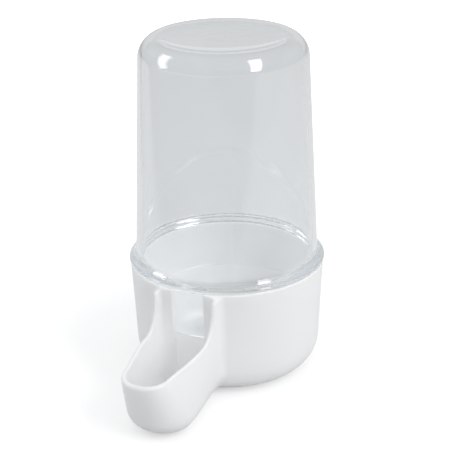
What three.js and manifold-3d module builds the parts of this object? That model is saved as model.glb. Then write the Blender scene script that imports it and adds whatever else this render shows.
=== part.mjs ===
// Bird water drinker: a clear reservoir stands mouth down in a white base with a drinking spout.
// Millimetres, +Z up. The origin is the middle of the base's underside and the spout points along -Y.
import * as THREE from 'three';
import { mergeVertices } from 'three/addons/utils/BufferGeometryUtils.js';
import Module from 'manifold-3d';

// Both mouldings
const DRAFT = 0.046; // radius lost per millimetre, so that each piece leaves its mould
const ROUND_SEGMENTS = 72; // facets round the vertical axis
const CORNER_STEPS = 6; // facets along a rounded corner

// Bowl of the base
const BASE_HEIGHT = 34.4; // underside to rim
const BASE_RIM_RADIUS = 29.7; // outside, at the rim
const BASE_WALL = 1.3;
const BASE_FLOOR = 1.4;
const BASE_CORNER = 9.0; // outside round between wall and underside

// Reservoir
const NECK_DEPTH = 15.1; // how far the neck plugs into the bowl, which sets the water level
const NECK_CLEARANCE = 0.3; // neck to bowl wall
const NECK_MOUTH_WALL = 1.0;
const MOUTH_CHAMFER = 0.4;
const FLANGE_OVERHANG = 0.3; // past the bowl's rim
const FLANGE_THICKNESS = 1.8;
const FLANGE_LEDGE = 2.1; // flange edge to cup wall
const CUP_HEIGHT = 68.2; // above the flange
const CUP_WALL = 1.5;
const CUP_CORNER = 7.0; // outside round at the closed end
const CUP_ROOT_FILLET = 1.2; // between cup wall and flange

// Spout
const SPOUT_LENGTH = 32.7; // bowl rim to lip
const SPOUT_HALF_WIDTH = 9.8; // outside, at the root
const SPOUT_WALL = 1.3;
const SPOUT_CORNER = 6.1; // outside round between wall and underside
const SPOUT_RIM_TAPER = 0.11; // half width lost per millimetre of length at lip height
const NOSE_LEAN = 0.35; // how much the nose draws in per millimetre below the lip
const NOSE_RADIUS_LIP = 6.6; // plan round of the nose at lip height
const NOSE_RADIUS_FOOT = 9.6; // and at the underside
const ROOT_FILLET = 3.0; // between the spout's sides and the bowl
const LIP_FREEBOARD = 1.2; // lip above the water level
const RIM_FALL = 1.8; // from the end of the sweep to the lip
const CHEEK_LENGTH = 1.8; // level top of the side walls, past the bowl's rim
const CHEEK_DROP = 1.0; // level top below the bowl's rim
const CHEEK_ROUND = 0.9;
const SWEEP_LENGTH = 6.7; // curve that takes the side walls down to the spout's rim
const SLOT_WIDTH = 9.6; // opening in the bowl's wall behind the spout

// Heights and radii that follow from them
const flangeTop = BASE_HEIGHT + FLANGE_THICKNESS;
const mouthHeight = BASE_HEIGHT - NECK_DEPTH;
const closedEnd = flangeTop + CUP_HEIGHT;
const lipHeight = mouthHeight + LIP_FREEBOARD;
const sweepEndHeight = lipHeight + RIM_FALL;
const cheekTop = BASE_HEIGHT - CHEEK_DROP;
const flangeRadius = BASE_RIM_RADIUS + FLANGE_OVERHANG;
const spoutReach = BASE_RIM_RADIUS + SPOUT_LENGTH;
const cheekReach = BASE_RIM_RADIUS + CHEEK_LENGTH;
const sweepEnd = cheekReach + SWEEP_LENGTH;
const slope = Math.hypot(1, DRAFT);
const lean = Math.atan(DRAFT);
const overshoot = 2; // cutting solids run this far past what they cut

const bowlRadius = (z) => BASE_RIM_RADIUS - DRAFT * (BASE_HEIGHT - z);
const bowlCornerCentre = bowlRadius(BASE_CORNER) - BASE_CORNER * slope;
const chamberRadius = (z) => bowlRadius(z) - BASE_WALL;
const neckRadius = (z) => chamberRadius(z) - NECK_CLEARANCE;
const cupRadius = (z) => flangeRadius - FLANGE_LEDGE - DRAFT * (z - flangeTop);
const cupInside = (z) => cupRadius(z) - CUP_WALL;

const wasm = await Module();
wasm.setup();

// Outside radius of the bowl with its rounded corner
function bowlOutside(z) {
  const aboveCentre = Math.min(z - BASE_CORNER, 0);
  return Math.min(bowlRadius(z), bowlCornerCentre + Math.sqrt(BASE_CORNER ** 2 - aboveCentre ** 2));
}

// Points along an arc, angles in radians
function arc(centreX, centreY, radius, from, to, steps = CORNER_STEPS) {
  const points = [];
  for (let i = 0; i <= steps; i += 1) {
    const angle = from + (to - from) * (i / steps);
    points.push(new THREE.Vector2(centreX + radius * Math.cos(angle), centreY + radius * Math.sin(angle)));
  }
  return points;
}

// Solid of revolution about Z from a profile of (radius, height) points, bottom first
function turned(profile) {
  return new THREE.LatheGeometry(profile, ROUND_SEGMENTS).rotateX(Math.PI / 2);
}

// Closed geometry to a solid that can be cut and joined
function solidFrom(geometry) {
  const bare = geometry.clone();
  bare.deleteAttribute('normal');
  bare.deleteAttribute('uv');
  const merged = mergeVertices(bare);
  const index = merged.index.array;
  const triangles = [];
  for (let i = 0; i < index.length; i += 3) {
    const [a, b, c] = [index[i], index[i + 1], index[i + 2]];
    if (a !== b && b !== c && c !== a) triangles.push(a, b, c);
  }
  return new wasm.Manifold(new wasm.Mesh({
    numProp: 3,
    vertProperties: new Float32Array(merged.attributes.position.array),
    triVerts: new Uint32Array(triangles),
  }));
}

function geometryFrom(solid) {
  const mesh = solid.getMesh();
  const geometry = new THREE.BufferGeometry();
  geometry.setAttribute('position', new THREE.BufferAttribute(mesh.vertProperties, 3));
  geometry.setIndex(new THREE.BufferAttribute(mesh.triVerts, 1));
  geometry.computeVertexNormals();
  return geometry;
}

// Solid through rings of equal point count, lowest first, each anticlockwise from above
function loft(rings) {
  const count = rings[0].length;
  const points = rings.flat();
  const indices = [];
  for (let level = 0; level < rings.length - 1; level += 1) {
    for (let i = 0; i < count; i += 1) {
      const a = level * count + i;
      const b = level * count + ((i + 1) % count);
      indices.push(a, b, b + count, a, b + count, a + count);
    }
  }
  const capCentre = (ring) => ring.reduce((sum, p) => sum.add(p), new THREE.Vector3()).divideScalar(count);
  const topStart = (rings.length - 1) * count;
  const bottomCentre = points.push(capCentre(rings[0])) - 1;
  const topCentre = points.push(capCentre(rings.at(-1))) - 1;
  for (let i = 0; i < count; i += 1) {
    const next = (i + 1) % count;
    indices.push(bottomCentre, next, i);
    indices.push(topCentre, topStart + i, topStart + next);
  }
  const geometry = new THREE.BufferGeometry().setFromPoints(points);
  geometry.setIndex(indices);
  return geometry;
}

// Filled drum with drafted walls and a rounded lower corner
function drum(radiusAt, bottom, top, corner) {
  const centreX = radiusAt(bottom + corner) - corner * slope;
  return turned([
    new THREE.Vector2(0, bottom),
    ...arc(centreX, bottom + corner, corner, -Math.PI / 2, -lean),
    new THREE.Vector2(radiusAt(top), top),
    new THREE.Vector2(0, top),
  ]);
}

// Half of the spout's plan outline at one height, from root to nose, as (distance from axis, half width).
// inset draws it in evenly: by the wall for the trough, and by the corner round near the underside.
function spoutHalfOutline(z, inset, rootFillet) {
  const share = THREE.MathUtils.clamp((lipHeight - z) / lipHeight, 0, 1);
  const reach = spoutReach - NOSE_LEAN * (lipHeight - z) - inset;
  const taper = SPOUT_RIM_TAPER * (1 - share);
  const halfWidth = (u) => SPOUT_HALF_WIDTH - taper * (u - cheekReach) - inset;
  const turn = Math.atan(taper);
  const room = (halfWidth(reach) * Math.cos(turn)) / (1 - Math.sin(turn));
  const plain = THREE.MathUtils.lerp(NOSE_RADIUS_LIP, NOSE_RADIUS_FOOT, share) - inset;
  const nose = Math.max(Math.min(plain, room), 0.3);
  const noseU = reach - nose;
  const noseV = Math.max(halfWidth(noseU) - nose / Math.cos(turn), 0);
  const bowl = bowlOutside(z);
  const filletV = halfWidth(bowl) + rootFillet;
  const filletU = Math.sqrt((bowl + rootFillet) ** 2 - filletV ** 2);
  const touch = bowl / (bowl + rootFillet);
  const startAngle = Math.atan2(filletV * (touch - 1), filletU * (touch - 1));
  return [
    new THREE.Vector2(bowl / 2, filletV * touch),
    ...arc(filletU, filletV, rootFillet, startAngle, -Math.PI / 2, 4),
    ...arc(noseU, noseV, nose, Math.PI / 2 - turn, 0, 2 * CORNER_STEPS),
  ];
}

// Body with the spout's plan outline, from a rounded lower corner up to its top
function spoutBody(inset, bottom, top, corner, rootFillet) {
  const levels = [];
  for (let i = 0; i <= CORNER_STEPS; i += 1) {
    const angle = (Math.PI / 2) * (i / CORNER_STEPS);
    levels.push({ z: bottom + corner * (1 - Math.cos(angle)), drawIn: corner * (1 - Math.sin(angle)) });
  }
  for (const share of [1 / 3, 2 / 3, 1]) {
    levels.push({ z: THREE.MathUtils.lerp(bottom + corner, lipHeight, share), drawIn: 0 });
  }
  levels.push({ z: top, drawIn: 0 });
  return loft(levels.map(({ z, drawIn }) => {
    const half = spoutHalfOutline(z, inset + drawIn, rootFillet);
    const right = half.toReversed().map((p) => new THREE.Vector3(p.y, -p.x, z));
    const left = half.map((p) => new THREE.Vector3(-p.y, -p.x, z));
    return [...right, ...left];
  }));
}

// Everything above the side walls' edge: level cheeks, the sweep down and the run out to the lip
function aboveSpoutRim() {
  const far = spoutReach + 10;
  const farHeight = sweepEndHeight - RIM_FALL * ((far - sweepEnd) / (spoutReach - sweepEnd));
  const sweepDrop = cheekTop - CHEEK_ROUND - sweepEndHeight;
  const shape = new THREE.Shape([
    new THREE.Vector2(cheekReach - CHEEK_ROUND, cheekTop + overshoot),
    ...arc(cheekReach - CHEEK_ROUND, cheekTop - CHEEK_ROUND, CHEEK_ROUND, Math.PI / 2, 0, 3),
  ]);
  for (let i = 1; i <= 8; i += 1) {
    const angle = (Math.PI / 2) * (i / 8);
    shape.lineTo(sweepEnd - SWEEP_LENGTH * Math.cos(angle), cheekTop - CHEEK_ROUND - sweepDrop * Math.sin(angle));
  }
  shape.lineTo(far, farHeight);
  shape.lineTo(far, cheekTop + overshoot);
  const span = 2 * (SPOUT_HALF_WIDTH + ROOT_FILLET + overshoot);
  const geometry = new THREE.ExtrudeGeometry(shape, { depth: span, bevelEnabled: false });
  geometry.translate(0, 0, -span / 2);
  const outward = new THREE.Vector3(0, -1, 0);
  const up = new THREE.Vector3(0, 0, 1);
  const across = new THREE.Vector3(-1, 0, 0);
  return geometry.applyMatrix4(new THREE.Matrix4().makeBasis(outward, up, across));
}

// Opening through the bowl's wall from the trough into the chamber, open at the rim
function slot() {
  const inner = chamberRadius(BASE_FLOOR) - BASE_CORNER;
  const outer = BASE_RIM_RADIUS + overshoot;
  const height = BASE_HEIGHT + overshoot - BASE_FLOOR;
  const geometry = new THREE.BoxGeometry(SLOT_WIDTH, outer - inner, height);
  return geometry.translate(0, -(outer + inner) / 2, BASE_FLOOR + height / 2);
}

function baseGeometry() {
  const bowl = solidFrom(drum(bowlRadius, 0, BASE_HEIGHT, BASE_CORNER));
  const chamber = solidFrom(drum(chamberRadius, BASE_FLOOR, BASE_HEIGHT + overshoot, BASE_CORNER - BASE_WALL));
  const spout = solidFrom(spoutBody(0, 0, cheekTop, SPOUT_CORNER, ROOT_FILLET))
    .subtract(solidFrom(aboveSpoutRim()));
  const straightBowl = solidFrom(turned([
    new THREE.Vector2(0, -overshoot),
    new THREE.Vector2(bowlRadius(-overshoot), -overshoot),
    new THREE.Vector2(bowlRadius(BASE_HEIGHT + 2 * overshoot), BASE_HEIGHT + 2 * overshoot),
    new THREE.Vector2(0, BASE_HEIGHT + 2 * overshoot),
  ]));
  const troughCorner = SPOUT_CORNER - SPOUT_WALL;
  const trough = solidFrom(spoutBody(SPOUT_WALL, BASE_FLOOR, BASE_HEIGHT + overshoot, troughCorner, 0))
    .subtract(straightBowl);
  const solid = bowl.add(spout).subtract(chamber).subtract(trough).subtract(solidFrom(slot()));
  return geometryFrom(solid);
}

function reservoirGeometry() {
  const edge = FLANGE_THICKNESS / 2;
  const cornerX = cupRadius(closedEnd - CUP_CORNER) - CUP_CORNER * slope;
  const insideCorner = CUP_CORNER - CUP_WALL;
  const insideTop = closedEnd - CUP_WALL;
  const insideX = cupInside(insideTop - insideCorner) - insideCorner * slope;
  const filletHeight = flangeTop + CUP_ROOT_FILLET;
  const filletX = cupRadius(filletHeight) + CUP_ROOT_FILLET * slope;
  return turned([
    new THREE.Vector2(0, insideTop),
    ...arc(insideX, insideTop - insideCorner, insideCorner, Math.PI / 2, lean),
    new THREE.Vector2(cupInside(flangeTop), flangeTop),
    new THREE.Vector2(neckRadius(mouthHeight) - NECK_MOUTH_WALL, mouthHeight),
    new THREE.Vector2(neckRadius(mouthHeight) - MOUTH_CHAMFER, mouthHeight),
    new THREE.Vector2(neckRadius(mouthHeight + MOUTH_CHAMFER), mouthHeight + MOUTH_CHAMFER),
    new THREE.Vector2(neckRadius(BASE_HEIGHT), BASE_HEIGHT),
    ...arc(flangeRadius - edge, BASE_HEIGHT + edge, edge, -Math.PI / 2, Math.PI / 2),
    ...arc(filletX, filletHeight, CUP_ROOT_FILLET, -Math.PI / 2, -Math.PI + lean, 3),
    ...arc(cornerX, closedEnd - CUP_CORNER, CUP_CORNER, lean, Math.PI / 2),
    new THREE.Vector2(0, closedEnd),
  ]);
}

const whitePlastic = new THREE.MeshStandardMaterial({ color: 0xf1f2f3, roughness: 0.35, metalness: 0 });
const clearPlastic = new THREE.MeshStandardMaterial({
  color: 0xe3e7ea, roughness: 0.05, metalness: 0, transparent: true, opacity: 0.35,
});

function piece(name, geometry, material) {
  const mesh = new THREE.Mesh(geometry, material);
  mesh.name = name;
  return mesh;
}

const drinker = new THREE.Group();
drinker.add(piece('base', baseGeometry(), whitePlastic));
drinker.add(piece('reservoir', reservoirGeometry(), clearPlastic));

export default drinker;
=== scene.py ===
import bpy
import numpy as np
from mathutils import Matrix


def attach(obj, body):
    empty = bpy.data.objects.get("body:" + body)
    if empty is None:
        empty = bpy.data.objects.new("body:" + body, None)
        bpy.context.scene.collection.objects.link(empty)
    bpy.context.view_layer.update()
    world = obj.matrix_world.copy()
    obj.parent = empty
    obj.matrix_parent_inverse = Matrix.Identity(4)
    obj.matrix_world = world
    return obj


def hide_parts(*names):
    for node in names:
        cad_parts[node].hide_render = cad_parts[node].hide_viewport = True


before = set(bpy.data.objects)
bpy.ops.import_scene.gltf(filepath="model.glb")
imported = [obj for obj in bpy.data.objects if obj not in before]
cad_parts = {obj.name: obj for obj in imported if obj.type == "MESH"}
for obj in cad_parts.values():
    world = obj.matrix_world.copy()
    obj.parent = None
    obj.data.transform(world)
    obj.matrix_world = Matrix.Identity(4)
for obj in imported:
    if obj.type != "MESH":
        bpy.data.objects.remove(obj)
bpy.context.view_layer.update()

# Every length is in millimetres until a surface is put into its mesh. Those of the studio and of nodes are in
# metres.
# u is the distance from the bowl's axis towards the spout's lip (-Y) and v is to its side (+X).
MM = 0.001

# Camera, fitted to the photograph
CAMERA_TURN = np.radians(24.0)  # bearing from the front
CAMERA_TILT, CAMERA_SWING, CAMERA_ROLL = 0.3907, -0.0013, -0.018  # radians
CAMERA_AWAY, CAMERA_ABOVE = 342.74, 150.22  # from the middle of the flange
FOCAL_PIXELS, PICTURE_PIXELS = 1208.5, 450  # focal length, and width of the picture
SENSOR_WIDTH = 36.0
CLIP_START, CLIP_END = 0.01, 30.0  # metres

# Both mouldings
DRAFT = 0.046
SLOPE = np.hypot(1, DRAFT)

# Bowl of the base
BASE_HEIGHT = 34.4
BASE_RIM_RADIUS = 29.7
BASE_WALL = 1.3
BASE_FLOOR = 1.4
BASE_CORNER = 9.0

# Spout
SPOUT_LENGTH = 32.7
SPOUT_HALF_WIDTH = 9.8
SPOUT_WALL = 1.1
SPOUT_CORNER = 6.6
NOSE_CORNER = 6.3
ROOT_CORNER_INSIDE = 6.3
RIM_TAPER = 0.11
NOSE_LEAN = 0.35
NOSE_RADIUS_LIP = 6.4
NOSE_RADIUS_FOOT = 9.6
NOSE_SMALLEST_RADIUS = 0.3
NOSE_EXTRA_WALL = 0.55
ROOT_FILLET = 3.0
ROOT_FILLET_FOOT = 1.8
TROUGH_FILLET_FOOT, TROUGH_FILLET_TOP = 3.0, 1.0
TROUGH_FILLET_ROOM = 0.9  # share of the wall's end that the fillet may take
FUNNEL_TURN_FOOT, FUNNEL_TURN_TOP = 0.7, 0.1
RIM_FALL = 1.8
LIP_FREEBOARD = 1.2
CHEEK_LENGTH = 1.8
CHEEK_DROP = 0.8
CHEEK_DROP_RUN = 0.85  # share of the root fillet over which the top drops
CHEEK_ROUND = 0.9
SWEEP_LENGTH = 6.7
SLOT_HALF_WIDTH = 4.8
SLOT_FOOT_ROUND = 3.0
SWELL_START, SWELL_END = 30.0, 58.0
SWELL_AT_RIM, SWELL_AT_FOOT = 0.10, 0.05
JAMB_ROUND = 0.6
JAMB_ROUND_ROOM = 0.3  # share of the wall's end that the round may take

# Rounds along the top edge of the base
BOWL_EDGE = 0.35
SPOUT_EDGE = 0.5
LIP_EDGE = 0.9
LIP_INNER_EDGE = 0.45

# Reservoir
NECK_DEPTH = 15.1
NECK_CLEARANCE = 0.3
NECK_MOUTH_WALL = 1.0
NECK_MOUTH_ROUND = 0.45
NECK_SEAT_ROUND = 0.25
FLANGE_OVERHANG = 0.3
FLANGE_THICKNESS = 1.8
FLANGE_LEDGE = 2.1
FLANGE_SEAT_GAP = 0.03
CUP_HEIGHT = 68.2
CUP_WALL = 1.5
CUP_CORNER = 7.0
CUP_ROOT_FLARE = 3.0

# Heights and reaches that follow from them
flange_top = BASE_HEIGHT + FLANGE_THICKNESS
mouth_height = BASE_HEIGHT - NECK_DEPTH
closed_end = flange_top + CUP_HEIGHT
lip_height = mouth_height + LIP_FREEBOARD
sweep_end_height = lip_height + RIM_FALL
cheek_top = BASE_HEIGHT - CHEEK_DROP
spout_reach = BASE_RIM_RADIUS + SPOUT_LENGTH
cheek_reach = BASE_RIM_RADIUS + CHEEK_LENGTH
sweep_end = cheek_reach + SWEEP_LENGTH
rim_slope = RIM_FALL / (spout_reach - sweep_end)
chamber_corner = BASE_CORNER - BASE_WALL


def place_camera():
    """Camera where the photograph was taken from, with its view turned from straight ahead by swing, tilt and
    roll, and the whole then turned into the part's frame."""
    turn, tilt, swing, roll = CAMERA_TURN, CAMERA_TILT, CAMERA_SWING, CAMERA_ROLL
    forward = np.array([np.sin(swing) * np.cos(tilt), np.cos(swing) * np.cos(tilt), -np.sin(tilt)])
    right = np.cross(forward, [0, 0, 1])
    right /= np.linalg.norm(right)
    up = np.cross(right, forward)
    right, up = np.cos(roll) * right + np.sin(roll) * up, -np.sin(roll) * right + np.cos(roll) * up
    place = np.array([0, -CAMERA_AWAY, CAMERA_ABOVE + BASE_HEIGHT + FLANGE_THICKNESS / 2])
    spin = np.array([[np.cos(turn), -np.sin(turn), 0], [np.sin(turn), np.cos(turn), 0], [0, 0, 1]])
    columns = np.column_stack([spin @ right, spin @ up, spin @ -forward, spin @ place * MM])
    data = bpy.data.cameras.new("camera")
    data.sensor_width = SENSOR_WIDTH
    data.lens = SENSOR_WIDTH * FOCAL_PIXELS / PICTURE_PIXELS
    data.clip_start = CLIP_START
    data.clip_end = CLIP_END
    camera = bpy.data.objects.new("camera", data)
    camera.matrix_world = Matrix([*columns.tolist(), [0, 0, 0, 1]])
    bpy.context.collection.objects.link(camera)
    bpy.context.scene.camera = camera


def unit(vectors):
    return vectors / np.linalg.norm(vectors, axis=-1, keepdims=True)


def mix(a, b, share):
    return a + (b - a) * share


def ease(share):
    share = np.clip(share, 0, 1)
    return share * share * (3 - 2 * share)


def put_in_mesh(name, points, quads, material):
    """Points (n, 3) in millimetres and quads (m, 4) as a smooth mesh. A quad drops its repeated corners."""
    repeated = quads == np.roll(quads, -1, axis=1)
    sides = 4 - repeated.sum(axis=1)
    quads, repeated, sides = quads[sides > 2], repeated[sides > 2], sides[sides > 2]
    used, loops = np.unique(quads[~repeated], return_inverse=True)
    mesh = bpy.data.meshes.new(name)
    mesh.vertices.add(len(used))
    mesh.vertices.foreach_set("co", (points[used] * MM).astype(np.float32).ravel())
    mesh.loops.add(len(loops))
    mesh.loops.foreach_set("vertex_index", loops.astype(np.int32))
    mesh.polygons.add(len(sides))
    mesh.polygons.foreach_set("loop_start", (np.cumsum(sides) - sides).astype(np.int32))
    mesh.polygons.foreach_set("loop_total", sides.astype(np.int32))
    mesh.polygons.foreach_set("use_smooth", np.ones(len(sides), dtype=bool))
    mesh.update(calc_edges=True)
    mesh.validate()
    mesh.materials.append(material)
    piece = bpy.data.objects.new(name, mesh)
    bpy.context.collection.objects.link(piece)
    return piece


def rings(radius, height, around):
    """Points at even turns about the axis, with one row for each radius and height."""
    turn = np.arange(around) * 2 * np.pi / around
    return np.stack(np.broadcast_arrays(
        radius[:, None] * np.cos(turn), radius[:, None] * np.sin(turn), height[:, None]), axis=-1)


def ring_quads(index):
    """Quads between each closed row of point numbers and the next row."""
    after = np.roll(index, -1, axis=1)
    return np.stack([index[:-1], index[1:], after[1:], after[:-1]], axis=-1).reshape(-1, 4)


# Walls of the base at any height

def bowl_cone(z):
    return BASE_RIM_RADIUS - DRAFT * (BASE_HEIGHT - z)


def rounded_foot(z, wall_radius, floor, corner):
    """Radius of a drafted wall above its corner, and below that of the corner's circle down to the floor."""
    centre = wall_radius(floor + corner) - corner * SLOPE
    below = np.clip(floor + corner - z, 0, corner)
    touch = floor + corner * (1 - DRAFT / SLOPE)
    return np.where(z > touch, wall_radius(z), centre + np.sqrt(corner ** 2 - below ** 2))


def bowl_outside(z):
    return rounded_foot(z, bowl_cone, 0, BASE_CORNER)


def chamber_inside(z):
    return rounded_foot(z, lambda height: bowl_cone(height) - BASE_WALL, BASE_FLOOR, chamber_corner)


def drawn_in(z, floor, corner):
    """How far a quarter round of that radius above the floor has drawn an outline in at height z."""
    below = np.clip(floor + corner - z, 0, corner)
    return corner - np.sqrt(corner ** 2 - below ** 2)


def side_line(z, inset):
    """The spout's side in plan: its angle to the axis, its distance from it, and how far z is below the lip
    as a share of the lip's height."""
    below = np.clip((lip_height - z) / lip_height, 0, 1)
    taper = RIM_TAPER * (1 - below)
    angle = np.arctan(taper)
    return angle, (SPOUT_HALF_WIDTH + taper * cheek_reach) * np.cos(angle) - inset, below


def arc(centre_u, centre_v, radius, angle, facing):
    """Points on an arc with their plan normal, which points away from the centre where facing is 1."""
    cos, sin = np.cos(angle), np.sin(angle)
    return np.stack(np.broadcast_arrays(
        centre_u + radius * cos, centre_v + radius * sin, facing * cos, facing * sin), axis=-1)


def straight(along, angle, distance, facing):
    """Points at a place along the side line with their plan normal."""
    cos, sin = np.cos(angle), np.sin(angle)
    return np.stack(np.broadcast_arrays(
        along * cos + distance * sin, distance * cos - along * sin, facing * sin, facing * cos), axis=-1)


def tangent_circle(distance, angle, offset, reach):
    """Centre of a circle at an offset from the side line and a reach from the bowl's axis, and its foot on
    that line."""
    along = np.sqrt(reach ** 2 - (distance + offset) ** 2)
    centre_u = along * np.cos(angle) + (distance + offset) * np.sin(angle)
    centre_v = (distance + offset) * np.cos(angle) - along * np.sin(angle)
    return centre_u, centre_v, along


def nose_round(z, inset, front_inset, angle, distance, below):
    """Centre and radius of the nose's round, which touches the side line and the front, and its foot on that
    line."""
    reach = spout_reach - NOSE_LEAN * (lip_height - z) - front_inset
    half_width = (distance - reach * np.sin(angle)) / np.cos(angle)
    room = half_width * np.cos(angle) / (1 - np.sin(angle))
    radius = np.minimum(mix(NOSE_RADIUS_LIP, NOSE_RADIUS_FOOT, below) - inset, room)
    radius = np.maximum(radius, NOSE_SMALLEST_RADIUS)
    centre_u = reach - radius
    centre_v = np.maximum((distance - radius - centre_u * np.sin(angle)) / np.cos(angle), 0)
    return centre_u, centre_v, radius, centre_u * np.cos(angle) - centre_v * np.sin(angle)


# Columns of the half outline, from the back of the bowl to the middle of the nose.
# Outside: bowl, bowl beside the slot, root fillet, side, nose round, nose front.
# Inside: chamber, the wall's end beside the slot in five parts, trough fillet, side, nose round, nose front.
WALL_END = (10, 8, 7, 8, 12)
OUTSIDE_PARTS = (96, sum(WALL_END), 22, 96, 26, 5)
INSIDE_PARTS = (OUTSIDE_PARTS[0], *WALL_END, *OUTSIDE_PARTS[2:])
WALL_END_TURN = 0.05  # radians of the bowl's outside that face the wall's end


def column_plan(counts):
    """The parts' column ranges, and each column's share of its own part. Only the last part reaches 1."""
    ends = np.cumsum(counts)
    spans = [slice(end - count, end) for end, count in zip(ends, counts)]
    shares = [np.arange(count) / count for count in counts[:-1]] + [np.linspace(0, 1, counts[-1])]
    return spans, np.concatenate(shares)


outside_spans, outside_share = column_plan(OUTSIDE_PARTS)
inside_spans, inside_share = column_plan(INSIDE_PARTS)
column_count = sum(OUTSIDE_PARTS)


def part_values(spans, share, values):
    """One value per column, eased from each part's value to the next part's."""
    result = np.zeros(column_count)
    for span, start, end in zip(spans, values, values[1:] + values[-1:]):
        result[span] = mix(start, end, ease(share[span]))
    return result


foot_corner = part_values(outside_spans, outside_share, [BASE_CORNER] * 4 + [SPOUT_CORNER, NOSE_CORNER])
trough_corner = part_values(inside_spans, inside_share, [ROOT_CORNER_INSIDE] * 8 + [
    SPOUT_CORNER - SPOUT_WALL, NOSE_CORNER - SPOUT_WALL])


def gather(parts, spans):
    return np.concatenate([part[:, span] for part, span in zip(parts, spans)], axis=1)


def side_places(side_u, foot, nose_foot, share, angle, distance):
    """Places of the side's columns along its line: where side_u asks, or else even from foot to nose_foot."""
    if side_u is None:
        return mix(foot, nose_foot, share)
    return (side_u - distance * np.sin(angle)) / np.cos(angle)


def outside(z, side_u=None):
    """Outer half outline at heights z (rows, columns) as u, v and plan normal: circle about the axis, concave
    fillet, straight side, convex nose and flat front. Where side_u is given, it places the side's columns."""
    share = outside_share
    inset = drawn_in(z, 0, foot_corner)
    angle, distance, below = side_line(z, inset)
    bowl = bowl_outside(z)
    fillet = mix(ROOT_FILLET_FOOT, ROOT_FILLET, ease(z / lip_height))
    root_u, root_v, foot = tangent_circle(distance, angle, fillet, bowl + fillet)
    touch = np.arctan2(root_v, root_u)
    nose_u, nose_v, radius, nose_foot = nose_round(z, inset, inset, angle, distance, below)
    along = side_places(side_u, foot, nose_foot, share, angle, distance)
    return gather([
        arc(0, 0, bowl, mix(np.pi, touch + WALL_END_TURN, share), 1),
        arc(0, 0, bowl, touch + WALL_END_TURN * (1 - share), 1),
        arc(root_u, root_v, fillet, mix(touch + np.pi, 1.5 * np.pi - angle, share), -1),
        straight(along, angle, distance, 1),
        arc(nose_u, nose_v, radius, mix(0.5 * np.pi - angle, 0, share), 1),
        arc(nose_u, nose_v * (1 - share), radius, 0 * z, 1),
    ], outside_spans)


def inside(z, side_u=None):
    """Inner half outline at heights z: chamber circle, round, jamb of the slot, round, the wall's end as seen
    in the trough, concave fillet, straight side, nose and flat front. The wall's end is turned towards the
    slot like a funnel."""
    share = inside_share
    inset = SPOUT_WALL + drawn_in(z, BASE_FLOOR, trough_corner)
    front_inset = inset + NOSE_EXTRA_WALL
    angle, distance, below = side_line(z, inset)
    chamber, cone = chamber_inside(z), bowl_cone(z)
    jamb = SLOT_HALF_WIDTH - drawn_in(z, BASE_FLOOR, SLOT_FOOT_ROUND)
    face = (distance - cone * np.sin(angle)) / np.cos(angle) - jamb
    edge = np.minimum(JAMB_ROUND, JAMB_ROUND_ROOM * face)
    inner_turn = np.arcsin((jamb + edge) / (chamber + edge))
    inner_u = (chamber + edge) * np.cos(inner_turn)
    outer_u = np.sqrt((cone - edge) ** 2 - (jamb + edge) ** 2)
    rise = 1 - np.clip((cheek_top - z) / (cheek_top - BASE_CORNER), 0, 1) ** 2
    facing = -mix(FUNNEL_TURN_FOOT, FUNNEL_TURN_TOP, rise)
    cos, sin = np.cos(facing), np.sin(facing)
    end_u, end_v = outer_u + edge * cos, jamb + edge + edge * sin
    to_side = (distance - end_u * np.sin(angle) - end_v * np.cos(angle)) / np.cos(facing + angle)
    bend = np.tan((0.5 * np.pi + facing + angle) / 2)
    fillet = mix(TROUGH_FILLET_FOOT, TROUGH_FILLET_TOP, rise)
    fillet = np.minimum(fillet, TROUGH_FILLET_ROOM * to_side / bend)
    run = to_side - fillet * bend
    fillet_u, fillet_v = end_u - run * sin + fillet * cos, end_v + run * cos + fillet * sin
    foot = fillet_u * np.cos(angle) - fillet_v * np.sin(angle)
    nose_u, nose_v, radius, nose_foot = nose_round(z, inset, front_inset, angle, distance, below)
    along = side_places(side_u, foot, nose_foot, share, angle, distance)
    jamb_line = np.stack([mix(inner_u, outer_u, share), jamb, 0 * jamb, 0 * jamb - 1], axis=-1)
    return gather([
        arc(0, 0, chamber, mix(np.pi, wall_end_angle, share), -1),
        arc(0, 0, chamber, mix(wall_end_angle, inner_turn, share), -1),
        arc(inner_u, jamb + edge, edge, mix(inner_turn + np.pi, 1.5 * np.pi, share), 1),
        jamb_line,
        arc(outer_u, jamb + edge, edge, mix(-0.5 * np.pi, facing, share), 1),
        np.stack([end_u - share * run * sin, end_v + share * run * cos, cos, sin], axis=-1),
        arc(fillet_u, fillet_v, fillet, mix(facing + np.pi, 0.5 * np.pi - angle, share), -1),
        straight(along, angle, distance, -1),
        arc(nose_u, nose_v, radius, mix(0.5 * np.pi - angle, 0, share), -1),
        arc(nose_u, nose_v * (1 - share), radius, 0 * z, -1),
    ], inside_spans)


rim_row = np.full((1, column_count), BASE_HEIGHT)
first_end_column = outside(rim_row)[0, outside_spans[1].start]
wall_end_angle = np.arctan2(first_end_column[1], first_end_column[0])


# Top edge of the base
CURVE_POINTS = 400
TURNING_WEIGHT = 1.5
DRAFT_STEP = 0.05  # the step down over which a wall's lean is measured
EDGE_PASSES = 5  # passes that settle the nose's height on its sloping rim


def rim_height(u):
    return sweep_end_height - rim_slope * (u - sweep_end)


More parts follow.
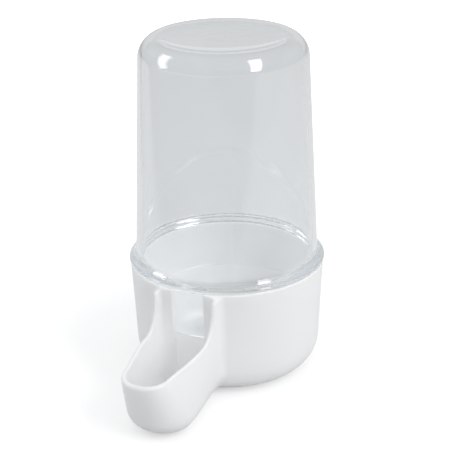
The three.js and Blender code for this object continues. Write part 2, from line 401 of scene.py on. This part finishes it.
def side_edge(start_u, end_u, share):
    """Top edge of the spout's side walls as (u, z): level, a quarter round, a quarter ellipse down and then a
    straight fall. Points are closer where it bends, by adding its turning to its length."""
    quarter = np.linspace(0, np.pi / 2, CURVE_POINTS)
    drop = cheek_top - CHEEK_ROUND - sweep_end_height
    u = np.concatenate([
        [start_u - 1],
        cheek_reach - CHEEK_ROUND + CHEEK_ROUND * np.sin(quarter),
        (sweep_end - SWEEP_LENGTH * np.cos(quarter))[1:],
        [spout_reach],
    ])
    z = np.concatenate([
        [cheek_top],
        cheek_top - CHEEK_ROUND + CHEEK_ROUND * np.cos(quarter),
        (cheek_top - CHEEK_ROUND - drop * np.sin(quarter))[1:],
        [rim_height(spout_reach)],
    ])
    run, rise = np.diff(u), np.diff(z)
    turning = np.abs(np.diff(np.arctan2(rise, run), prepend=0))
    measure = np.concatenate([[0], np.cumsum(np.hypot(run, rise) + TURNING_WEIGHT * turning)])
    places = mix(np.interp(start_u, u, measure), np.interp(end_u, u, measure), share)
    return np.interp(places, measure, u), np.interp(places, measure, z)


def top_edge(outline, spans, share):
    """Height of each column where the walls would meet the top with no round between them, and the places of
    the side's columns there."""
    fillet, side, nose = spans[-4], spans[-3], slice(spans[-2].start, None)
    z = rim_row.copy()
    z[:, fillet] = mix(BASE_HEIGHT, cheek_top, ease(share[fillet] / CHEEK_DROP_RUN))
    z[:, side] = cheek_top
    z[:, nose] = lip_height
    for _ in range(EDGE_PASSES):
        plan = outline(z)[0]
        z[:, nose] = rim_height(plan[nose, 0])
    side_u = np.zeros_like(z)
    side_u[:, side], z[:, side] = side_edge(plan[side.start, 0], plan[nose.start, 0], share[side])
    return z, side_u


def edge_round(outline, spans, share, hand, radius):
    """Round between a wall and the top. The wall's normal W leans with its draft, the top's normal N stands
    on the edge's direction, and the round's centre is at T - (W + N) r / (1 + W.N), with T the sharp edge."""
    z, side_u = top_edge(outline, spans, share)
    plan = outline(z, side_u)[0]
    lower = outline(z - DRAFT_STEP, side_u)[0]
    sharp = np.column_stack([plan[:, :2], z[0]])
    normal = plan[:, 2:]
    outward_growth = ((plan[:, :2] - lower[:, :2]) * normal).sum(axis=1) / DRAFT_STEP
    wall = unit(np.column_stack([normal, -outward_growth]))
    mirror = np.array([1, -1, 1])
    padded = np.concatenate([sharp[1:2] * mirror, sharp, sharp[-2:-1] * mirror])
    direction = padded[2:] - padded[:-2]
    tangent = hand * np.column_stack([normal[:, 1], -normal[:, 0]])
    run = (direction[:, :2] * tangent).sum(axis=1)
    top = unit(np.column_stack([-direction[:, 2:] * tangent, run]))
    nose = slice(spans[-2].start, None)
    top[nose] = unit(np.array([rim_slope, 0, 1.0]))
    cosine = (wall * top).sum(axis=1, keepdims=True)
    centre = sharp - (wall + top) * radius[:, None] / (1 + cosine)
    opening = np.arccos(cosine)
    turn = np.linspace(0, 1, EDGE_ROWS)[:, None, None]
    blend = (np.sin((1 - turn) * opening) * wall + np.sin(turn * opening) * top) / np.sin(opening)
    return centre + radius[:, None] * blend


# Rows of each stretch of the base's surface
FLAT_ROWS, WALL_ROWS, EDGE_ROWS, TOP_ROWS = 8, 26, 7, 4
OUTER_CORNER_ROWS, INNER_CORNER_ROWS = 18, 16
SPINE_REACH, SPINE_STEP = 0.9, 0.003


def wall_rows(outline, foot, edge):
    """Rows from height foot up to the start of the edge's round. The side's columns move away from their even
    places in step with the height, to meet their places on the edge."""
    rise = np.linspace(0, 1, WALL_ROWS)[:, None]
    z = mix(foot, edge[:, 2], rise)
    even_u = outline(z)[..., 0]
    side_u = even_u + (edge[:, 0] - even_u[-1]) * rise
    plan = outline(z, side_u)
    miss = edge[:, :2] - outline(edge[None, :, 2], edge[None, :, 0])[0, :, :2]
    place = plan[..., :2] + miss * rise[..., None] ** 3
    return np.concatenate([place, z[..., None]], axis=-1)


def corner_rows(outline, floor, corner, rows):
    """Rows round the lower corner, at even turns of its quarter circle."""
    turn = np.linspace(0, np.pi / 2, rows)[:, None]
    z = floor + corner * (1 - np.cos(turn)) + np.zeros((1, column_count))
    return np.concatenate([outline(z)[..., :2], z[..., None]], axis=-1)


def flat_rows(outline_row):
    """Flat face inside an outline, closed along the line of symmetry, where each column has its own place."""
    spine = 0 * outline_row
    reach = np.maximum.accumulate(outline_row[:, 0])
    spine[:, 0] = SPINE_REACH * reach + SPINE_STEP * np.arange(column_count)
    spine[:, 2] = outline_row[:, 2]
    return mix(spine, outline_row, np.linspace(0, 1, FLAT_ROWS)[:, None, None])


def swelled(points):
    """The spout's sides belly outwards: v grows by a sine squared along the spout, less so near the foot."""
    u, v, z = points[..., 0], points[..., 1], points[..., 2]
    along = np.clip((u - SWELL_START) / (SWELL_END - SWELL_START), 0, 1)
    swell = mix(SWELL_AT_FOOT, SWELL_AT_RIM, np.clip(z / lip_height, 0, 1))
    return np.stack([u, v * (1 + swell * np.sin(np.pi * along) ** 2), z], axis=-1)


def base_surface():
    """Half of the base's closed surface (rows, columns, 3): underside, lower corner, wall, edge, over the
    top, edge, inner wall, inner corner and floor."""
    outer_radius = part_values(
        outside_spans, outside_share, [BOWL_EDGE] * 3 + [SPOUT_EDGE] * 2 + [LIP_EDGE])
    inner_radius = part_values(
        inside_spans, inside_share, [BOWL_EDGE] * 7 + [SPOUT_EDGE] * 2 + [LIP_INNER_EDGE])
    outer_edge = edge_round(outside, outside_spans, outside_share, 1, outer_radius)
    inner_edge = edge_round(inside, inside_spans, inside_share, -1, inner_radius)
    outer_wall = wall_rows(outside, BASE_CORNER, outer_edge[0])
    inner_wall = wall_rows(inside, BASE_FLOOR + chamber_corner, inner_edge[0])
    outer_corner = corner_rows(outside, 0, BASE_CORNER, OUTER_CORNER_ROWS)
    inner_corner = corner_rows(inside, BASE_FLOOR, chamber_corner, INNER_CORNER_ROWS)
    across = mix(outer_edge[-1], inner_edge[-1], np.linspace(0, 1, TOP_ROWS)[1:-1, None, None])
    return swelled(np.concatenate([
        flat_rows(outer_corner[0])[:-1],
        outer_corner[:-1],
        outer_wall[:-1],
        outer_edge,
        across,
        inner_edge[::-1],
        inner_wall[-2::-1],
        inner_corner[-2::-1],
        flat_rows(inner_corner[0])[-2::-1],
    ]))


def make_base(material):
    """Both halves of the base's surface: the second is the first with v turned about, and they share the
    columns on the line of symmetry and the lines that close the underside and the floor."""
    half = base_surface()
    rows = len(half)
    points = np.concatenate([half, half * np.array([1, -1, 1])], axis=1).reshape(-1, 3)
    points = np.column_stack([points[:, 1], -points[:, 0], points[:, 2]])
    index = np.arange(rows * 2 * column_count).reshape(rows, 2 * column_count)
    index[:, column_count] = index[:, 0]
    index[:, -1] = index[:, column_count - 1]
    index[0, column_count:] = index[0, :column_count]
    index[-1, column_count:] = index[-1, :column_count]
    loop = np.concatenate([index[:, :column_count], index[:, :column_count:-1]], axis=1)
    return put_in_mesh("base.moulding", points, ring_quads(loop), material)


# Reservoir, with the rows of its rounds and of the straight stretches between them
INNER_END_ROWS, OUTER_END_ROWS = 18, 22
MOUTH_ROWS, SEAT_ROWS, FLANGE_ROWS, FLARE_ROWS = 7, 4, 19, 16
SHORT_ROWS, LONG_ROWS = 8, 26
RESERVOIR_AROUND = 256
FLARE_PASSES = 6  # passes that settle the flare's circle between flange and cup


def profile_arc(centre_r, centre_z, radius, start, end, rows):
    turn = np.linspace(start, end, rows)
    return np.column_stack([centre_r + radius * np.cos(turn), centre_z + radius * np.sin(turn)])


def profile_line(start, end, rows):
    return mix(np.array(start, dtype=float), np.array(end, dtype=float), np.linspace(0, 1, rows)[1:-1, None])


def cup(z):
    return BASE_RIM_RADIUS + FLANGE_OVERHANG - FLANGE_LEDGE - DRAFT * (z - flange_top)


def neck(z):
    return bowl_cone(z) - BASE_WALL - NECK_CLEARANCE


def reservoir_profile():
    """Half section of the reservoir as (radius, height), from the inside of the closed end down to the neck's
    mouth and up the outside."""
    lean = np.arctan(DRAFT)
    half_pi = np.pi / 2
    inner_corner = CUP_CORNER - CUP_WALL
    inner_top = closed_end - CUP_WALL
    inner_r = cup(inner_top - inner_corner) - CUP_WALL - inner_corner * SLOPE
    mouth_z = mouth_height + NECK_MOUTH_ROUND
    mouth_r = neck(mouth_z) - NECK_MOUTH_ROUND
    mouth_inner_r = neck(mouth_height) - NECK_MOUTH_WALL + NECK_MOUTH_ROUND
    seat = BASE_HEIGHT + FLANGE_SEAT_GAP
    seat_z = seat - NECK_SEAT_ROUND
    seat_r = neck(seat_z) + NECK_SEAT_ROUND
    edge = (FLANGE_THICKNESS - FLANGE_SEAT_GAP) / 2
    edge_r = BASE_RIM_RADIUS + FLANGE_OVERHANG - edge
    flare_z = flange_top + CUP_ROOT_FLARE
    for _ in range(FLARE_PASSES):
        flare_r = cup(flare_z) + CUP_ROOT_FLARE * SLOPE
        flare_z = seat + edge + np.sqrt((CUP_ROOT_FLARE + edge) ** 2 - (flare_r - edge_r) ** 2)
    flare_turn = np.arctan2(flare_z - seat - edge, flare_r - edge_r)
    outer_r = cup(closed_end - CUP_CORNER) - CUP_CORNER * SLOPE
    inner_end = profile_arc(inner_r, inner_top - inner_corner, inner_corner, half_pi, lean, INNER_END_ROWS)
    waist = np.array([[cup(flange_top) - CUP_WALL, flange_top]])
    mouth_inside = profile_arc(mouth_inner_r, mouth_z, NECK_MOUTH_ROUND, np.pi, 1.5 * np.pi, MOUTH_ROWS)
    mouth_outside = profile_arc(mouth_r, mouth_z, NECK_MOUTH_ROUND, -half_pi, 0, MOUTH_ROWS)
    neck_seat = profile_arc(seat_r, seat_z, NECK_SEAT_ROUND, np.pi, half_pi, SEAT_ROWS)
    flange = profile_arc(edge_r, seat + edge, edge, -half_pi, flare_turn, FLANGE_ROWS)
    flare = profile_arc(flare_r, flare_z, CUP_ROOT_FLARE, flare_turn - np.pi, -np.pi + lean, FLARE_ROWS)[1:]
    outer_end = profile_arc(outer_r, closed_end - CUP_CORNER, CUP_CORNER, lean, half_pi, OUTER_END_ROWS)
    return np.concatenate([
        profile_line([0, inner_top], inner_end[0], SHORT_ROWS),
        inner_end,
        profile_line(inner_end[-1], waist[0], LONG_ROWS),
        waist,
        profile_line(waist[0], mouth_inside[0], SHORT_ROWS),
        mouth_inside,
        mouth_outside,
        profile_line(mouth_outside[-1], neck_seat[0], SHORT_ROWS),
        neck_seat,
        flange,
        flare,
        profile_line(flare[-1], outer_end[0], LONG_ROWS),
        outer_end,
        profile_line(outer_end[-1], [0, closed_end], SHORT_ROWS),
    ])


def make_reservoir(material):
    """The profile carried round the axis, closed by one point on the axis inside and one outside."""
    profile = reservoir_profile()
    ring = rings(profile[:, 0], profile[:, 1], RESERVOIR_AROUND)
    inner_pole = [[0, 0, closed_end - CUP_WALL]]
    outer_pole = [[0, 0, closed_end]]
    points = np.concatenate([inner_pole, ring.reshape(-1, 3), outer_pole])
    index = np.arange(1, len(points) - 1).reshape(-1, RESERVOIR_AROUND)
    first, last = 0 * index[:1], 0 * index[:1] + len(points) - 1
    quads = ring_quads(np.concatenate([first, index, last]))
    facing_out = quads[:, [0, 3, 2, 1]]
    return put_in_mesh("reservoir.moulding", points, facing_out, material)


# Materials
PATCH_SCALE, PATCH_DETAIL = 55.0, 3.0
GRAIN_SCALE, GRAIN_DETAIL = 2600.0, 2.0
RIPPLE_DETAIL = 2.0
GRAIN_IN_HEIGHT = 0.02
WHITE_COLOUR = (0.945, 0.951, 0.955)
CLEAR_COLOUR = (0.984, 0.994, 0.999)
GLASS_MIRRORINGS = 2.5
STRAIGHT_ON_COLOUR = (0.996, 0.998, 1.0)
MIRRORED_COLOUR = (0.97, 0.98, 0.99)


def node(tree, kind, **values):
    """A node of that kind with its settings, and inputs by name, each a value or another node's output."""
    made = tree.nodes.new(kind)
    inputs = values.pop("inputs", {})
    for name, value in values.items():
        setattr(made, name, value)
    for name, value in inputs.items():
        if isinstance(value, bpy.types.NodeSocket):
            tree.links.new(value, made.inputs[name])
        else:
            made.inputs[name].default_value = value
    return made


def math(tree, operation, *values):
    """One sum of scalars, or with SMOOTH a smooth step of the first value from the second to the third."""
    if operation == "SMOOTH":
        names = dict(zip(("Value", "From Min", "From Max"), values))
        step = node(tree, "ShaderNodeMapRange", interpolation_type="SMOOTHSTEP", inputs=names)
        return step.outputs["Result"]
    return node(tree, "ShaderNodeMath", operation=operation, inputs=dict(enumerate(values))).outputs[0]


def vector_math(tree, operation, *values):
    """One sum of vectors, whose result is a number for a dot product or a length."""
    made = node(tree, "ShaderNodeVectorMath", operation=operation, inputs=dict(enumerate(values)))
    return made.outputs["Value" if operation in ("DOT_PRODUCT", "LENGTH") else "Vector"]


def mixed_value(tree, share, first, second):
    """A number that goes from the first to the second as share goes from 0 to 1."""
    return node(tree, "ShaderNodeMix", inputs={"Factor": share, "A": first, "B": second}).outputs["Result"]


def mixed_colour(tree, share, first, second):
    """A colour that goes from the first to the second as share goes from 0 to 1. The node's sockets for them
    are 6 and 7, and 2 for the result."""
    colours = [(*colour, 1) if isinstance(colour, tuple) else colour for colour in (first, second)]
    inputs = {0: share, 6: colours[0], 7: colours[1]}
    return node(tree, "ShaderNodeMix", data_type="RGBA", inputs=inputs).outputs[2]


def any_ray(tree, *names):
    """1 for a ray of any of these kinds."""
    path = tree.nodes.new("ShaderNodeLightPath")
    total = path.outputs[names[0]]
    for name in names[1:]:
        total = math(tree, "MAXIMUM", total, path.outputs[name])
    return total


def plain_material(name, colour, roughness):
    material = bpy.data.materials.new(name)
    material.use_nodes = True
    shader = material.node_tree.nodes["Principled BSDF"]
    shader.inputs["Base Color"].default_value = (*colour, 1)
    shader.inputs["Roughness"].default_value = roughness
    return material, shader


def noise(tree, place, scale, detail):
    inputs = {"Vector": place, "Scale": scale, "Detail": detail}
    return node(tree, "ShaderNodeTexNoise", inputs=inputs).outputs[0]


def moulded_surface():
    """Group for a moulded surface: its colour with faint cloudy patches, its roughness with the same patches
    and a fine grain, and a height of slow ripples along the flow, all placed by the object's coordinates."""
    group = bpy.data.node_groups.new("moulded surface", "ShaderNodeTree")
    amounts = ("Patches", "Roughness", "Grain", "Ripple Size", "Ripple Height", "Flow Stretch")
    for in_out, kind, names in (
            ("INPUT", "NodeSocketColor", ["Color"]), ("INPUT", "NodeSocketFloat", amounts),
            ("OUTPUT", "NodeSocketColor", ["Color"]), ("OUTPUT", "NodeSocketFloat", ["Roughness"]),
            ("OUTPUT", "NodeSocketVector", ["Normal"])):
        for name in names:
            group.interface.new_socket(name=name, in_out=in_out, socket_type=kind)
    given = group.nodes.new("NodeGroupInput").outputs
    place = node(group, "ShaderNodeTexCoord").outputs["Object"]
    patches = math(group, "SUBTRACT", noise(group, place, PATCH_SCALE, PATCH_DETAIL), 0.5)
    grain = math(group, "SUBTRACT", noise(group, place, GRAIN_SCALE, GRAIN_DETAIL), 0.5)
    stretch = node(group, "ShaderNodeCombineXYZ", inputs={0: 1.0, 1: 1.0, 2: given["Flow Stretch"]})
    along = vector_math(group, "MULTIPLY", place, stretch.outputs[0])
    ripples = noise(group, along, given["Ripple Size"], RIPPLE_DETAIL)
    shade = math(group, "MULTIPLY_ADD", patches, given["Patches"], 1.0)
    colour = node(group, "ShaderNodeVectorMath", operation="SCALE", inputs={
        0: given["Color"], "Scale": shade}).outputs[0]
    rough = math(group, "MULTIPLY_ADD", patches, given["Grain"], given["Roughness"])
    rough = math(group, "MULTIPLY_ADD", grain, given["Grain"], rough)
    height = math(group, "MULTIPLY_ADD", grain, GRAIN_IN_HEIGHT, ripples)
    normal = node(group, "ShaderNodeBump", inputs={
        "Height": height, "Distance": given["Ripple Height"], "Strength": 1.0}).outputs[0]
    results = group.nodes.new("NodeGroupOutput").inputs
    for name, value in (("Color", colour), ("Roughness", rough), ("Normal", normal)):
        group.links.new(value, results[name])
    return group


def moulded_plastic(name, group, colour, values):
    """Principled material whose colour, roughness and normal come from the group, which gets these values."""
    material, shader = plain_material(name, colour, values["Roughness"])
    tree = material.node_tree
    surface = node(tree, "ShaderNodeGroup", node_tree=group, inputs={"Color": (*colour, 1), **values})
    for source, target in (("Color", "Base Color"), ("Roughness", "Roughness"), ("Normal", "Normal")):
        tree.links.new(surface.outputs[source], shader.inputs[target])
    return material, shader


def white_plastic(group):
    """Satin white plastic that lets some light through its thin walls."""
    material, shader = moulded_plastic("white plastic", group, WHITE_COLOUR, {
        "Patches": 0.03, "Roughness": 0.36, "Grain": 0.10, "Ripple Size": 160.0, "Ripple Height": 0.00006,
        "Flow Stretch": 0.6})
    shader.inputs["Specular IOR Level"].default_value = 0.4
    shader.inputs["Subsurface Weight"].default_value = 1.0
    shader.inputs["Subsurface Radius"].default_value = (1.0, 1.0, 1.0)
    shader.inputs["Subsurface Scale"].default_value = 0.0035
    return material


def clear_plastic(group):
    """Clear plastic with a faint grey cast. Lamp light and soft light pass straight through it to the base,
    and so does a ray that its walls have mirrored several times, which loses some of its light."""
    material, shader = moulded_plastic("clear plastic", group, CLEAR_COLOUR, {
        "Patches": 0.02, "Roughness": 0.025, "Grain": 0.02, "Ripple Size": 70.0, "Ripple Height": 0.00007,
        "Flow Stretch": 0.25})
    shader.inputs["Transmission Weight"].default_value = 1.0
    shader.inputs["IOR"].default_value = 1.57
    tree = material.node_tree
    mirrorings = tree.nodes.new("ShaderNodeLightPath").outputs["Glossy Depth"]
    trapped = math(tree, "GREATER_THAN", mirrorings, GLASS_MIRRORINGS)
    dimming = mixed_colour(tree, trapped, STRAIGHT_ON_COLOUR, MIRRORED_COLOUR)
    passing = node(tree, "ShaderNodeBsdfTransparent", inputs={"Color": dimming}).outputs[0]
    straight_on = math(tree, "MAXIMUM", any_ray(tree, "Is Shadow Ray", "Is Diffuse Ray"), trapped)
    mixed = node(tree, "ShaderNodeMixShader", inputs={0: straight_on, 1: shader.outputs[0], 2: passing})
    tree.links.new(mixed.outputs[0], tree.nodes["Material Output"].inputs["Surface"])
    return material


# Lamps of the studio, with angles in degrees
LAMPS = {
    "window right": {"azimuth": 73, "elevation": 34, "lean": 17, "size": (0.29, 1.1), "radiance": 6.5},
    "window left": {"azimuth": -72, "elevation": 25, "lean": -28, "size": (0.29, 1.0), "radiance": 3.45},
}
LAMP_DISTANCE = 1.2
LAMP_TARGET = (0, -0.01, 0.05)

# Room of the studio, with bearings as the camera faces it
BEHIND, BEFORE, LEFT, RIGHT = (-0.407, 0.914, 0), (0.407, -0.914, 0), (-0.914, -0.407, 0), (0.914, 0.407, 0)
ROOM_BEHIND, ROOM_BEFORE, ROOM_LEFT, ROOM_RIGHT, ROOM_ABOVE = 0.73, 0.70, 0.55, 0.66, 0.84
WALL_START, WALL_FULL = 0.2, 0.45
CEILING_START, CEILING_FULL = 0.6, 0.9
HORIZON_BEHIND, HORIZON_RIGHT = 0.62, 0.30
SHADE, SHADE_BEARING = 0.35, (-0.423, -0.906, 0)
THROUGH_GLASS_LOW, THROUGH_GLASS_HIGH = 0.76, 0.60
ROOM_COLOUR = (0.972, 0.988, 1.0)

# Floor
FLOOR_RINGS = (40, 80, 160, 400, 1500, 6000)  # radii in millimetres
FLOOR_AROUND = 96
FLOOR_DEPTH = 0.02  # millimetres
FLOOR_COLOUR, FLOOR_ROUGHNESS = (0.65, 0.65, 0.65), 0.9
FLOOR_THROUGH_GLASS = (0.578, 0.578, 0.582)
FLOOR_GLOW, FLOOR_GLOW_MIRRORED = 0.46, 0.161
FADE_START, FADE_END = 0.07, 0.38
# Painted reflection: a grey strip of floor in front that only mirrored rays see, darkening what the clear
# plastic mirrors
REFLECTION_STRIP_START, REFLECTION_STRIP_END, REFLECTION_STRIP_BLUR = 0.12, 0.7, 0.03
REFLECTION_STRIP_BEARING = (-0.225, -0.975, 0)
REFLECTION_STRIP_COLOUR = (0.3, 0.3, 0.3)


def softbox(name, azimuth, elevation, lean, size, radiance):
    """Rectangular lamp at a bearing from the front, turned to face the object, with its top leaning right."""
    bearing, height = np.radians(azimuth), np.radians(elevation)
    away = np.array([np.sin(bearing) * np.cos(height), -np.cos(bearing) * np.cos(height), np.sin(height)])
    data = bpy.data.lights.new(name, "AREA")
    data.shape = "RECTANGLE"
    data.size, data.size_y = size
    data.energy = radiance * np.pi * size[0] * size[1]
    level = unit(np.cross([0, 0, 1.0], away))
    right = np.cos(np.radians(lean)) * level - np.sin(np.radians(lean)) * np.cross(away, level)
    up = np.cross(away, right)
    place = np.array(LAMP_TARGET) + away * LAMP_DISTANCE
    columns = np.column_stack([right, up, away, place])
    lamp = bpy.data.objects.new(name, data)
    lamp.matrix_world = Matrix([*columns.tolist(), [0, 0, 0, 1]])
    bpy.context.collection.objects.link(lamp)


def lobe(tree, bearing, towards):
    """Square of the cosine between two level directions, and nothing behind."""
    facing = math(tree, "MAXIMUM", vector_math(tree, "DOT_PRODUCT", bearing, towards), 0.0)
    return math(tree, "MULTIPLY", facing, facing)


def light_studio():
    """Two lamps and a pale room, which is white for the camera and plain for rays bent by the clear plastic.
    For other rays it has four walls with one shaded stretch, a ceiling, and low light behind and right."""
    for name, values in LAMPS.items():
        softbox(name, **values)
    world = bpy.data.worlds.new("studio")
    bpy.context.scene.world = world
    world.use_nodes = True
    tree = world.node_tree
    direction = node(tree, "ShaderNodeTexCoord").outputs["Generated"]
    split = node(tree, "ShaderNodeSeparateXYZ", inputs={0: direction}).outputs
    flat = node(tree, "ShaderNodeCombineXYZ", inputs={0: split["X"], 1: split["Y"]}).outputs[0]
    bearing = vector_math(tree, "NORMALIZE", flat)
    above = math(tree, "SMOOTH", split["Z"], CEILING_START, CEILING_FULL)
    raised = math(tree, "SMOOTH", split["Z"], WALL_START, WALL_FULL)
    behind, right = lobe(tree, bearing, BEHIND), lobe(tree, bearing, RIGHT)
    sides = [
        (behind, ROOM_BEHIND), (lobe(tree, bearing, BEFORE), ROOM_BEFORE),
        (lobe(tree, bearing, LEFT), ROOM_LEFT), (right, ROOM_RIGHT)]
    walls = 0.0
    for facing, radiance in sides:
        walls = math(tree, "MULTIPLY_ADD", facing, radiance, walls)
    shade = lobe(tree, bearing, SHADE_BEARING)
    shade = math(tree, "MULTIPLY", math(tree, "MULTIPLY", shade, shade), SHADE)
    walls = math(tree, "MULTIPLY", walls, math(tree, "SUBTRACT", 1.0, shade))
    room = math(tree, "MULTIPLY", walls, raised)
    room = math(tree, "MULTIPLY", room, math(tree, "SUBTRACT", 1.0, above))
    room = math(tree, "MULTIPLY_ADD", above, ROOM_ABOVE, room)
    horizon = math(tree, "MULTIPLY", behind, HORIZON_BEHIND)
    horizon = math(tree, "MULTIPLY_ADD", right, HORIZON_RIGHT, horizon)
    room = math(tree, "MULTIPLY_ADD", horizon, math(tree, "SUBTRACT", 1.0, raised), room)
    through = mixed_value(tree, raised, THROUGH_GLASS_LOW, THROUGH_GLASS_HIGH)
    room = mixed_value(tree, any_ray(tree, "Is Transmission Ray"), room, through)
    seen = any_ray(tree, "Is Camera Ray")
    background = tree.nodes["Background"].inputs
    tree.links.new(mixed_value(tree, seen, room, 1.0), background["Strength"])
    tree.links.new(mixed_colour(tree, seen, ROOM_COLOUR, (1, 1, 1)), background["Color"])


def make_floor():
    """A wide pale disc under the object, which keeps the object's shadow and shows white, because for the
    camera it glows more away from the object. A grey strip in front, which mirrored rays alone see, is a
    painted reflection: it darkens what the clear plastic mirrors in front."""
    radii = np.array(FLOOR_RINGS, dtype=float)
    ring = rings(radii, 0 * radii - FLOOR_DEPTH, FLOOR_AROUND)
    points = np.concatenate([[[0, 0, -FLOOR_DEPTH]], ring.reshape(-1, 3)])
    index = np.arange(1, len(points)).reshape(-1, FLOOR_AROUND)
    quads = ring_quads(np.concatenate([0 * index[:1], index]))
    material, shader = plain_material("studio floor", FLOOR_COLOUR, FLOOR_ROUGHNESS)
    shader.inputs["Specular IOR Level"].default_value = 0.0
    tree = material.node_tree
    glossy = any_ray(tree, "Is Glossy Ray")
    place = node(tree, "ShaderNodeTexCoord").outputs["Object"]
    # Painted reflection: the grey strip is mixed into the floor's colour for mirrored rays alone
    out = vector_math(tree, "DOT_PRODUCT", place, REFLECTION_STRIP_BEARING)
    begun = math(tree, "SMOOTH", out, REFLECTION_STRIP_START - REFLECTION_STRIP_BLUR, REFLECTION_STRIP_START + REFLECTION_STRIP_BLUR)
    ended = math(tree, "SMOOTH", out, REFLECTION_STRIP_END - REFLECTION_STRIP_BLUR, REFLECTION_STRIP_END + REFLECTION_STRIP_BLUR)
    reflection_strip = math(tree, "SUBTRACT", begun, ended)
    tone = mixed_colour(tree, math(tree, "MULTIPLY", glossy, reflection_strip), FLOOR_COLOUR, REFLECTION_STRIP_COLOUR)
    tone = mixed_colour(tree, any_ray(tree, "Is Transmission Ray"), tone, FLOOR_THROUGH_GLASS)
    tree.links.new(tone, shader.inputs["Base Color"])
    glossy = math(tree, "MULTIPLY", glossy, math(tree, "SUBTRACT", 1.0, reflection_strip))
    mirrored = math(tree, "MULTIPLY", glossy, FLOOR_GLOW_MIRRORED)
    fade = math(tree, "SMOOTH", vector_math(tree, "LENGTH", place), FADE_START, FADE_END)
    glow = math(tree, "MULTIPLY_ADD", fade, 1.0 - FLOOR_GLOW, FLOOR_GLOW)
    glow = math(tree, "MAXIMUM", math(tree, "MULTIPLY", any_ray(tree, "Is Camera Ray"), glow), mirrored)
    shader.inputs["Emission Color"].default_value = (1, 1, 1, 1)
    tree.links.new(glow, shader.inputs["Emission Strength"])
    put_in_mesh("studio floor", points, quads, material)


place_camera()
surface_group = moulded_surface()
base = make_base(white_plastic(surface_group))
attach(base, "base")
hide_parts("base")
reservoir = make_reservoir(clear_plastic(surface_group))
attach(reservoir, "reservoir")
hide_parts("reservoir")
light_studio()
make_floor()

scene = bpy.context.scene
scene.view_settings.view_transform = "Standard"
